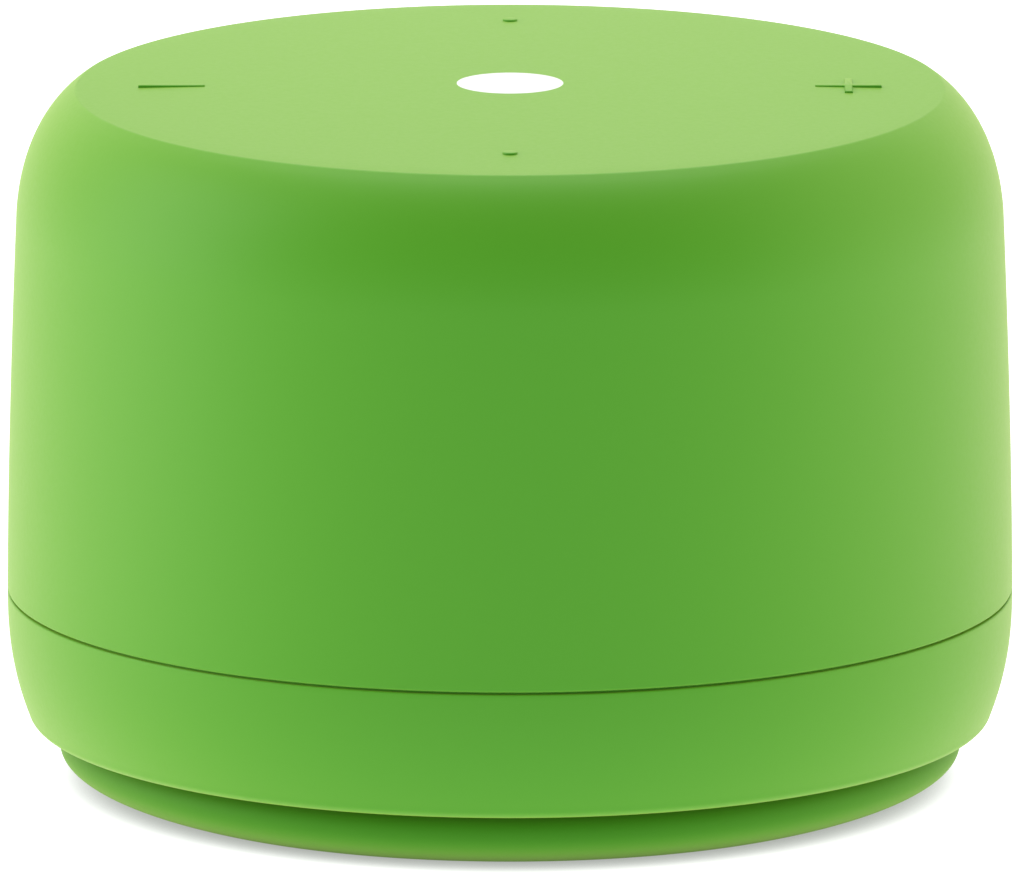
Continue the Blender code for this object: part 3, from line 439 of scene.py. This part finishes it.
def make_materials():
    return {
        "silicone": green_material("silicone_green", 0.46),
        "shell_plastic": green_material("plastic_green", 0.46),
        # the cup's darker green is painted shade
        "cup": green_material("cup_silicone_painted_shade", 0.6, GREEN_CUP_PAINTED_SHADE, veil=0.25, ior=1.3),
        "black_plastic": plain_material("plastic_black", (0.02, 0.02, 0.022), 0.5),
        "white_plastic": plain_material("plastic_white", (0.75, 0.75, 0.72), 0.45),
        "board": plain_material("board_lacquer", (0.015, 0.14, 0.055), 0.35, scale=600.0),
        "foam": plain_material("foam_black", (0.035, 0.035, 0.035), 0.9, scale=4000.0),
        "mesh_cloth": plain_material("mesh_cloth", (0.2, 0.14, 0.06), 0.85, scale=3000.0),
        "cone_paper": plain_material("cone_paper", (0.03, 0.03, 0.032), 0.8, scale=1800.0),
        "steel": plain_material("steel_plated", (0.62, 0.62, 0.63), 0.3, metallic=1.0,
                                scale=900.0, shade=0.9, stretch=(1.0, 1.0, 6.0)),
        "nickel": plain_material("nickel_plated", (0.66, 0.63, 0.58), 0.22, metallic=1.0,
                                 scale=500.0),
        "copper": plain_material("copper_enamel", (0.7, 0.3, 0.14), 0.35, metallic=1.0,
                                 scale=300.0, shade=0.7, stretch=(1.0, 1.0, 30.0)),
        "cell": plain_material("cell_foil", (0.6, 0.62, 0.66), 0.3, metallic=0.8, scale=250.0),
        "lamp": plain_material("lamp_clear", (0.85, 0.9, 0.9), 0.12),
        "wire_red": plain_material("wire_red", (0.45, 0.01, 0.01), 0.4),
        "wire_black": plain_material("wire_black", (0.015, 0.015, 0.015), 0.4),
        "print": plain_material("print_white", (0.86, 0.88, 0.85), 0.4, scale=900.0, shade=0.97),
        "gold": plain_material("contact_gold", (0.85, 0.6, 0.22), 0.25, metallic=1.0,
                               scale=700.0),
    }


# ---- mesh helpers -------------------------------------------------------------------------
def on_ring(radius, degrees, height=0.0):
    angle = math.radians(degrees)
    return Vector((radius * math.cos(angle), radius * math.sin(angle), height))


def arc(centre, radius, start, end, count):
    """Points (r, z) on a circular arc, from the start angle to the end angle in degrees."""
    points = []
    for step in range(count + 1):
        angle = math.radians(start + (end - start) * step / count)
        points.append((centre[0] + radius * math.cos(angle), centre[1] + radius * math.sin(angle)))
    return points


def bezier(p0, p1, p2, p3, count):
    points = []
    for step in range(count + 1):
        t = step / count
        weights = ((1 - t) ** 3, 3 * t * (1 - t) ** 2, 3 * t * t * (1 - t), t ** 3)
        points.append(tuple(sum(w * p[i] for w, p in zip(weights, (p0, p1, p2, p3)))
                            for i in range(2)))
    return points


def fillet(before, corner, after, radius, count):
    """Points (r, z) on a small arc that rounds the corner between two straight neighbours."""
    corner = Vector(corner)
    first = (Vector(before) - corner).normalized()
    second = (Vector(after) - corner).normalized()
    half = first.angle(second) / 2
    reach = radius / math.tan(half)
    centre = corner + (first + second).normalized() * radius / math.sin(half)
    start = (corner + first * reach - centre).normalized()
    end = (corner + second * reach - centre).normalized()
    return [tuple(centre + start.slerp(end, step / count) * radius) for step in range(count + 1)]


def turned(outline, segments=ROUND):
    """A solid of revolution about +Z from a closed outline of (r, z) points."""
    solid = bmesh.new()
    points = [solid.verts.new((r, 0.0, z)) for r, z in outline]
    on_axis = [r < ON_AXIS for r, z in outline]
    edges = []
    for first in range(len(points)):
        second = (first + 1) % len(points)
        if not (on_axis[first] and on_axis[second]):
            edges.append(solid.edges.new((points[first], points[second])))
    bmesh.ops.spin(solid, geom=points + edges, cent=(0, 0, 0), axis=(0, 0, 1),
                   angle=2 * math.pi, steps=segments, use_merge=True)
    bmesh.ops.remove_doubles(solid, verts=solid.verts, dist=MERGE_DISTANCE)
    bmesh.ops.recalc_face_normals(solid, faces=solid.faces)
    return solid


def add_rod(solid, radius, low, high, at, segments):
    place = Matrix.Translation((at[0], at[1], (low + high) / 2))
    bmesh.ops.create_cone(solid, cap_ends=True, segments=segments, radius1=radius,
                          radius2=radius, depth=high - low, matrix=place)


def add_radial_rod(solid, radius, inner, outer, degrees, height):
    """A rod that points away from the axis, between two distances from it."""
    turn = Matrix.Rotation(math.radians(degrees), 4, "Z") @ Matrix.Rotation(math.pi / 2, 4, "Y")
    place = Matrix.Translation(on_ring((inner + outer) / 2, degrees, height)) @ turn
    bmesh.ops.create_cone(solid, cap_ends=True, segments=ROD_FACETS, radius1=radius,
                          radius2=radius, depth=outer - inner, matrix=place)


def as_mesh(name, solid):
    mesh = bpy.data.meshes.new(name)
    solid.to_mesh(mesh)
    solid.free()
    return mesh


def add_piece(name, solid, material, sharp=PLAIN_EDGE):
    """Lift a mesh in the making onto the cup and show it with its material."""
    bmesh.ops.translate(solid, verts=solid.verts, vec=(0.0, 0.0, DATUM_HEIGHT))
    mesh = as_mesh(name, solid)
    mesh.shade_smooth()
    mesh.set_sharp_from_angle(angle=math.radians(sharp))
    mesh.materials.append(material)
    piece = bpy.data.objects.new(name, mesh)
    bpy.context.scene.collection.objects.link(piece)
    return piece


def cut(solid, cutter, operation="DIFFERENCE"):
    """The first mesh with the second cut from it or joined to it; both are used up."""
    target = bpy.data.objects.new("cut_target", as_mesh("cut_target", solid))
    tool = bpy.data.objects.new("cut_tool", as_mesh("cut_tool", cutter))
    for item in (target, tool):
        bpy.context.scene.collection.objects.link(item)
    modifier = target.modifiers.new("cut", "BOOLEAN")
    modifier.operation = operation
    modifier.object = tool
    bpy.context.view_layer.update()
    graph = bpy.context.evaluated_depsgraph_get()
    result = bmesh.new()
    result.from_mesh(target.evaluated_get(graph).to_mesh())
    for item in (target, tool):
        bpy.data.objects.remove(item, do_unlink=True)
    return result


def lofted(loops):
    """A closed solid through loops of points that all have the same count."""
    solid = bmesh.new()
    rings = [[solid.verts.new(point) for point in loop] for loop in loops]
    count = len(rings[0])
    for low, high in zip(rings, rings[1:]):
        for first in range(count):
            second = (first + 1) % count
            solid.faces.new((low[first], low[second], high[second], high[first]))
    solid.faces.new(reversed(rings[0]))
    solid.faces.new(rings[-1])
    bmesh.ops.recalc_face_normals(solid, faces=solid.faces)
    return solid


# ---- the drum -----------------------------------------------------------------------------
def crown_height(radius):
    return CREASE_HEIGHT + CROWN_RISE * (1 - (radius / CREASE_RADIUS) ** 2)


def wall_radius(height):
    """Radius of the drum's wall at a height between the seam and the shoulder."""
    share = (height - SEAM_HEIGHT) / (SHOULDER_HEIGHT - SEAM_HEIGHT)
    share = max(0.0, min(1.0, share))
    return BODY_RADIUS - (BODY_RADIUS - SHOULDER_RADIUS) * share ** WALL_POWER


def sleeve_outline():
    """Closed outline of the sleeve, from its lower edge over the top to the axis and back."""
    bottom = SEAM_HEIGHT + SEAM_WIDTH / 2
    outline = arc((BODY_RADIUS - SEAM_ROUNDING, bottom + SEAM_ROUNDING), SEAM_ROUNDING,
                  -80, 0, count=5)
    start_height = bottom + 2 * SEAM_ROUNDING
    for step in range(WALL_STEPS):
        height = start_height + (SHOULDER_HEIGHT - start_height) * step / WALL_STEPS
        outline.append((wall_radius(height), height))
    low, high = SHOULDER_HANDLES
    start, end = (SHOULDER_RADIUS, SHOULDER_HEIGHT), (CREASE_RADIUS, CREASE_HEIGHT)
    shoulder = bezier(start,
                      (start[0] - low * math.sin(SHOULDER_LEAN),
                       start[1] + low * math.cos(SHOULDER_LEAN)),
                      (end[0] + high * math.cos(CREASE_SLOPE),
                       end[1] - high * math.sin(CREASE_SLOPE)),
                      end, count=36)
    outside = shoulder[-CREASE_STEPS - 1]
    inside = (CREASE_RADIUS - CREASE_SPAN, crown_height(CREASE_RADIUS - CREASE_SPAN))
    outline += shoulder[:-CREASE_STEPS]
    outline += fillet(outside, end, inside, CREASE_ROUNDING, count=5)
    for step in range(1, CROWN_RINGS + 1):
        radius = (CREASE_RADIUS - CREASE_REACH) * (1 - step / CROWN_RINGS)
        outline.append((radius, crown_height(radius)))
    corner = (SLEEVE_INNER_RADIUS - INNER_CORNER, SLEEVE_INNER_TOP - INNER_CORNER)
    outline += [(0.0, SLEEVE_INNER_TOP)]
    outline += arc(corner, INNER_CORNER, 90, 0, count=8)
    outline += [(SLEEVE_INNER_RADIUS, bottom)]
    return outline


def rounded_rectangle(width, height, corner, count=10):
    """Points (x, z) round a rectangle with round corners, about its middle."""
    points = []
    for quarter, (sx, sz) in enumerate(((1, 1), (-1, 1), (-1, -1), (1, -1))):
        centre = (sx * (width / 2 - corner), sz * (height / 2 - corner))
        points += arc(centre, corner, 90 * quarter, 90 * quarter + 90, count)
    return points


def port_cutter():
    loop = rounded_rectangle(FLAP_WIDTH + 2 * FLAP_GAP, FLAP_HEIGHT + 2 * FLAP_GAP, PORT_CORNER)
    return lofted([[(x, y, PORT_HEIGHT + z) for x, z in loop] for y in THROUGH_WALL])


def make_sleeve(finish):
    """The silicone skin, open for the four keys, the port, the microphone and the lamp."""
    skin = turned(sleeve_outline())
    for angle in KEY_ANGLES.values():
        cutter = bmesh.new()
        add_rod(cutter, DENT_RADIUS, *THROUGH_TOP, on_ring(KEY_RING, angle), DENT_STEPS)
        skin = cut(skin, cutter)
    skin = cut(skin, port_cutter())
    holes = bmesh.new()
    for angle in (MIC_ANGLE, LAMP_ANGLE):
        add_radial_rod(holes, PINHOLE_RADIUS, *THROUGH_WALL, angle, PORT_HEIGHT)
    skin = cut(skin, holes)
    piece = add_piece("sleeve_skin", skin, finish["silicone"], CRISP_EDGE)
    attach(piece, "speaker")
    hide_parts("outer_sleeve")


def make_print(finish):
    """A plain white disc in the middle of the top."""
    outline = []
    for share, lift in PRINT_SHAPE:
        radius = PRINT_RADIUS * share
        outline.append((radius, crown_height(radius) + PRINT_FILM * lift))
    disc = turned(outline, PRINT_FACETS)
    piece = add_piece("top_print", disc, finish["print"])
    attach(piece, "speaker")


# ---- keys ---------------------------------------------------------------------------------
def polar_slab(centre, inner, outer, start, end, ring_count, turn_count):
    """A thin slab of the skin between two radii and two directions about a key's centre."""
    solid = bmesh.new()
    layers = []
    for depth in (0.0, SKIN_SLAB):
        grid = []
        for ring in range(ring_count + 1):
            radius = inner + (outer - inner) * ring / ring_count
            row = []
            for step in range(turn_count + 1):
                angle = start + (end - start) * step / turn_count
                x = centre.x + radius * math.cos(angle)
                y = centre.y + radius * math.sin(angle)
                row.append(solid.verts.new((x, y, crown_height(math.hypot(x, y)) - depth)))
            grid.append(row)
        layers.append(grid)
    top, under = layers
    for ring in range(ring_count):
        for step in range(turn_count):
            for grid in (top, under):
                solid.faces.new((grid[ring][step], grid[ring + 1][step],
                                 grid[ring + 1][step + 1], grid[ring][step + 1]))
    for step in range(turn_count):
        for ring in (0, ring_count):
            solid.faces.new((top[ring][step], top[ring][step + 1],
                             under[ring][step + 1], under[ring][step]))
    for ring in range(ring_count):
        for step in (0, turn_count):
            solid.faces.new((top[ring][step], top[ring + 1][step],
                             under[ring + 1][step], under[ring][step]))
    bmesh.ops.recalc_face_normals(solid, faces=solid.faces)
    return solid


def pad_slab(centre):
    """The round middle of a key's patch of skin."""
    loops = []
    shares = [step / PAD_RINGS for step in range(PAD_RINGS, 0, -1)]
    for share, depth in [(1.0, SKIN_SLAB)] + [(share, 0.0) for share in shares]:
        loop = []
        for step in range(DENT_STEPS):
            angle = 2 * math.pi * step / DENT_STEPS
            x = centre.x + PAD_RADIUS * share * math.cos(angle)
            y = centre.y + PAD_RADIUS * share * math.sin(angle)
            loop.append((x, y, crown_height(math.hypot(x, y)) - depth))
        loops.append(loop)
    return lofted(loops)


def raised_mark(outline, centre, rise):
    """A raised outline on the skin with its top edge rounded off; centre is the key's centre."""
    base = crown_height(Vector(centre).xy.length)
    ease = rise * MARK_EASE
    middle = ease * MARK_EASE_MIDDLE
    loops = []
    for inset, height in ((0.0, -rise), (0.0, rise - ease), (middle, rise - middle),
                          (ease, rise)):
        loops.append([(centre.x + x, centre.y + y, base + height)
                      for x, y in inset_outline(outline, inset)])
    return lofted(loops)


def inset_outline(outline, distance):
    """Move each side of a counter-clockwise outline inwards by a distance."""
    moved = []
    count = len(outline)
    for index in range(count):
        before, here, after = (Vector(outline[(index + k) % count]) for k in (-1, 0, 1))
        first = (here - before).normalized()
        second = (after - here).normalized()
        inward = Vector((-first.y, first.x)) + Vector((-second.y, second.x))
        scale = distance / (0.5 * inward.length_squared)
        moved.append(tuple(here + inward * scale))
    return moved


def plus_outline(half, stroke):
    """Corners of a plus; half and stroke are half its length and half its stroke."""
    points = []
    for quarter in range(4):
        angle = math.radians(90 * quarter)
        turn = Matrix.Rotation(angle, 2)
        for x, y in ((half, -stroke), (half, stroke), (stroke, stroke)):
            points.append(tuple(turn @ Vector((x, y))))
    return points


def mark_outline(name):
    half, stroke = MARK_LENGTH / 2, MARK_STROKE / 2
    if name == "volume_up":
        return plus_outline(half, stroke)
    if name == "volume_down":
        return [(half, -stroke), (half, stroke), (-half, stroke), (-half, -stroke)]
    return arc((0.0, 0.0), DOT_RADIUS, 0, 360 - 360 / DOT_FACETS, count=DOT_FACETS - 1)


def plunger_outline():
    head, waist, shaft = PLUNGER_RADII
    top, flare, start, foot = PLUNGER_HEIGHTS
    return [(0.0, top), (head, top), (waist, flare), (shaft, start),
            (shaft, foot + PLUNGER_CHAMFER), (shaft - PLUNGER_CHAMFER, foot), (0.0, foot)]


def make_keys(finish):
    """Each key's pad, mark and plunger, and the skin round the pad, in sectors."""
    for name, degrees in KEY_ANGLES.items():
        centre = on_ring(KEY_RING, degrees)
        pad = add_piece(f"{name}_pad", pad_slab(centre), finish["silicone"],
                        CRISP_EDGE)
        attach(pad, name)
        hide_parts(f"{name}_key")
        mark = add_piece(f"{name}_mark", raised_mark(mark_outline(name), centre, MARK_RISE),
                         finish["silicone"], SOFT_EDGE)
        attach(mark, name)
        plunger = turned(plunger_outline(), ROD_FACETS)
        bmesh.ops.translate(plunger, verts=plunger.verts, vec=centre)
        post = add_piece(f"{name}_plunger", plunger, finish["silicone"])
        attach(post, name)
        width = 2 * math.pi / SECTORS
        for sector in range(SECTORS):
            slab = polar_slab(centre, PAD_RADIUS, DENT_RADIUS, sector * width,
                              (sector + 1) * width, SKIN_RINGS, DENT_STEPS // SECTORS)
            piece = add_piece(f"{name}_skin_{sector + 1}", slab, finish["silicone"],
                              CRISP_EDGE)
            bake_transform(piece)


# ---- base ---------------------------------------------------------------------------------
def base_outline():
    """Closed outline of the base shell, with the collar that carries the driver."""
    top = SEAM_HEIGHT - SEAM_WIDTH / 2
    outline = arc((EDGE_RADIUS - EDGE_ROUNDING, EDGE_HEIGHT + EDGE_ROUNDING), EDGE_ROUNDING,
                  -90, -12, count=10)
    start, end = outline[-1], top - SEAM_ROUNDING
    for step in range(1, BASE_STEPS + 1):
        share = step / BASE_STEPS
        bulge = 1 - (1 - share) ** BASE_FULLNESS
        outline.append((start[0] + (BODY_RADIUS - start[0]) * bulge,
                        start[1] + (end - start[1]) * share))
    outline += arc((BODY_RADIUS - SEAM_ROUNDING, top - SEAM_ROUNDING), SEAM_ROUNDING,
                   15, 80, count=5)
    collar_inner, collar_outer, collar_top = COLLAR
    skirt = CUP_RADIUS + SKIRT_GAP
    ledge = BODY_RADIUS - SEAM_DEPTH
    ledge_top = top + LEDGE_RISE * SEAM_WIDTH
    outline += [(ledge, top), (ledge, ledge_top), (ledge - LEDGE_WIDTH, ledge_top),
                (ledge - LEDGE_WIDTH, top), (SHELL_INNER, top), (SHELL_INNER, PLATE_TOP),
                (collar_outer, PLATE_TOP), (collar_outer, collar_top),
                (collar_inner, collar_top), (collar_inner, PLATE_TOP),
                (PLATE_HOLE, PLATE_TOP), (PLATE_HOLE, PLATE_BOTTOM), (skirt, PLATE_BOTTOM)]
    outline += [(skirt + out, EDGE_HEIGHT + up) for out, up in SKIRT_FOOT]
    return outline


def add_ring_of_rods(solid, radius, low, high, ring, angles):
    for angle in angles:
        add_rod(solid, radius, low, high, on_ring(ring, angle), ROD_FACETS)


def slot_outline(start, end, half_width, count=6):
    """Points (x, y) round a slot with round ends that lies along +X."""
    middle = (start + end) / 2
    loop = rounded_rectangle(end - start, 2 * half_width, half_width * SLOT_ROUNDING, count)
    return [(middle + x, y) for x, y in loop]


def make_base(finish):
    """The lower shell with its screw posts, counterbored holes and sound slots."""
    case_screws = CASE_SCREW_RING, CASE_SCREW_ANGLES
    driver_screws = DRIVER_SCREW_RING, DRIVER_SCREW_ANGLES
    posts = bmesh.new()
    add_ring_of_rods(posts, CASE_POST[0], POST_FOOT, SEAM_HEIGHT - CASE_POST[1], *case_screws)
    add_ring_of_rods(posts, DRIVER_POST[0], POST_FOOT, DRIVER_POST[1], *driver_screws)
    base = cut(turned(base_outline()), posts, "UNION")
    holes = bmesh.new()
    add_ring_of_rods(holes, *CASE_COUNTERBORE, *case_screws)
    add_ring_of_rods(holes, *DRIVER_PILOT, *driver_screws)
    base = cut(base, holes)
    shafts = bmesh.new()
    add_ring_of_rods(shafts, *CASE_SHAFT, *case_screws)
    base = cut(base, shafts)
    for number in range(SOUND_SLOTS):
        turn = Matrix.Rotation(2 * math.pi * (number + 0.5) / SOUND_SLOTS, 3, "Z")
        loop = slot_outline(*SOUND_SLOT)
        base = cut(base, lofted([[turn @ Vector((x, y, height)) for x, y in loop]
                                 for height in THROUGH_PLATE]))
    piece = add_piece("lower_shell", base, finish["shell_plastic"],
                      SHELL_EDGE)
    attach(piece, "speaker")
    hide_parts("base_shell")


# ---- cup ----------------------------------------------------------------------------------
def cup_outline():
    """Closed outline: neck, shelf, upright side that curls in, contact ring and hollow."""
    neck, foot, shoulder = CUP_NECK_RADIUS, CUP_NECK_FOOT, CUP_FOOT_ROUNDING
    outline = [(0.0, CUP_TOP), (neck, CUP_TOP), (neck, foot), (CUP_FOOT_RADIUS, foot)]
    outline += arc((CUP_FOOT_RADIUS, foot - shoulder), shoulder, 70, 10, count=3)
    outline += bezier(*CUP_SHELF_CURVE, (CUP_RADIUS - CUP_SHELF_FLAT, CUP_SHELF), count=30)
    outline += arc((CUP_RADIUS - CUP_EDGE_ROUNDING, CUP_SHELF - CUP_EDGE_ROUNDING),
                   CUP_EDGE_ROUNDING, 90, 0, count=14)
    inner, outer = CUP_CONTACT
    for step in range(CURL_STEPS + 1):
        share = step / CURL_STEPS
        outline.append((CUP_RADIUS - (CUP_RADIUS - outer) * share ** CUP_CURL_POWER,
                        CUP_GROUND + CUP_CURL * (1 - share)))
    outline += [(inner, CUP_GROUND), (inner - CUP_LIP[0], CUP_GROUND + CUP_LIP[1])]
    roof = CUP_GROUND + CUP_HOLLOW
    outline += bezier(*CUP_HOLLOW_CURVE, (CUP_ROOF_REACH, roof), (0.0, roof), count=30)
    return outline


def make_cup(finish):
    # the cup's material is painted darker, as shade under the body
    piece = add_piece("rounded_cup", turned(cup_outline()), finish["cup"])
    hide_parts("suction_cup")
    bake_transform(piece)


# ---- driver -------------------------------------------------------------------------------
def make_flexing_ring(name, outline, material, replaced):
    """A ring about the driver's axis, made in sectors, that takes the place of a CAD node.
    """
    width = 2 * math.pi / FLEX_SECTORS
    for sector in range(FLEX_SECTORS):
        loops = []
        for step in range(FLEX_STEPS + 1):
            turn = (sector + step / FLEX_STEPS) * width
            loops.append([(r * math.cos(turn), r * math.sin(turn), z) for r, z in outline])
        piece = add_piece(f"{name}_{sector + 1}", lofted(loops), material, SOFT_EDGE)
        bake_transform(piece)
        if sector == 0:
            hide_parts(replaced)


def make_driver_suspension(finish):
    """The rolled surround and the corrugated spider of the driver."""
    inside = ROLL_RADIUS - ROLL_SKIN
    surround = arc(ROLL_MIDDLE, ROLL_RADIUS, 0, -180, count=18)
    surround += arc(ROLL_MIDDLE, inside, -180, 0, count=18)
    make_flexing_ring("surround", surround, finish["foam"], "cone_surround")
    start, end = SPIDER_RADII
    spider = []
    for step in range(SPIDER_STEPS + 1):
        share = step / SPIDER_STEPS
        wave = math.cos(2 * math.pi * SPIDER_CRESTS * share)
        spider.append((start + (end - start) * share, SPIDER_HEIGHT - SPIDER_WAVE * wave))
    under = [(r, z - SPIDER_SKIN) for r, z in reversed(spider)]
    make_flexing_ring("spider", spider + under, finish["mesh_cloth"],
                      "driver_spider")


# ---- port ---------------------------------------------------------------------------------
def wall_plate(width, height, corner, back, face, rounding, middle):
    """A plate that follows the drum's wall: back and face are depths under the wall's surface."""
    layers = [(0.0, back)]
    layers += [(rounding * inset, face + rounding * depth) for inset, depth in ROUNDED_EDGE]
    reach = min(width, height) / 2
    layers += [(rounding + (reach - rounding) * step / FLAP_RINGS, face)
               for step in range(1, FLAP_RINGS)]
    loops = []
    for inset, depth in layers:
        on_edge = inset <= rounding
        x_share = 1 - inset / (width / 2 if on_edge else reach)
        z_share = 1 - inset / (height / 2 if on_edge else reach)
        loop = []
        for x, z in rounded_rectangle(width, height, corner):
            x, z = x * x_share, middle + z * z_share
            radius = wall_radius(z) - depth
            loop.append((x, math.sqrt(radius * radius - x * x), z))
        loops.append(loop)
    return lofted(loops)


def make_port(finish):
    """The sealing flap with its finger lip and its plug."""
    plate = wall_plate(FLAP_WIDTH, FLAP_HEIGHT, FLAP_CORNER, *FLAP_DEPTHS, FLAP_ROUNDING,
                       PORT_HEIGHT)
    flap = add_piece("flap_skin", plate, finish["silicone"], SOFT_EDGE)
    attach(flap, "port_cover")
    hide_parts("port_flap")
    bar = wall_plate(*LIP_SIZE, LIP_CORNER, *LIP_DEPTHS, LIP_ROUNDING,
                     PORT_HEIGHT + FLAP_HEIGHT / 2 - LIP_DROP)
    lip = add_piece("flap_lip", bar, finish["silicone"], SOFT_EDGE)
    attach(lip, "port_cover")
    loop = rounded_rectangle(*PLUG_SIZE, PLUG_CORNER)
    loops = [[(x * share, y, PORT_HEIGHT + z * share) for x, z in loop]
             for share, y in PLUG_LAYERS]
    plug = add_piece("flap_plug", lofted(loops), finish["silicone"], SOFT_EDGE)
    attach(plug, "port_cover")


def make_contacts(finish):
    """The gold contacts on both sides of the charging socket's tongue."""
    contacts = bmesh.new()
    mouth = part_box("charging_socket")[1].y
    size = Matrix.Diagonal((*CONTACT_SIZE, 1.0))
    for side in (-1, 1):
        surface = PORT_HEIGHT + side * CONTACT_LIFT
        for number in range(CONTACTS):
            x = (number - (CONTACTS - 1) / 2) * CONTACT_PITCH
            place = Matrix.Translation((x, mouth - CONTACT_DEPTH, surface))
            bmesh.ops.create_cube(contacts, size=1.0, matrix=place @ size)
    piece = add_piece("socket_contacts", contacts, finish["gold"])
    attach(piece, "speaker")


# ---- finishes of the CAD nodes that stay --------------------------------------------------
def finish_cad_nodes(finish):
    slots = {row["node"]: row["material_slot"] for row in frame["record"]["subparts"]}
    for name, item in frame["nodes"].items():
        item.data.materials.clear()
        item.data.materials.append(finish[slots[name]])


finish = make_materials()
add_camera()
add_studio()
finish_cad_nodes(finish)
make_sleeve(finish)
make_print(finish)
make_keys(finish)
make_base(finish)
make_cup(finish)
make_driver_suspension(finish)
make_port(finish)
make_contacts(finish)
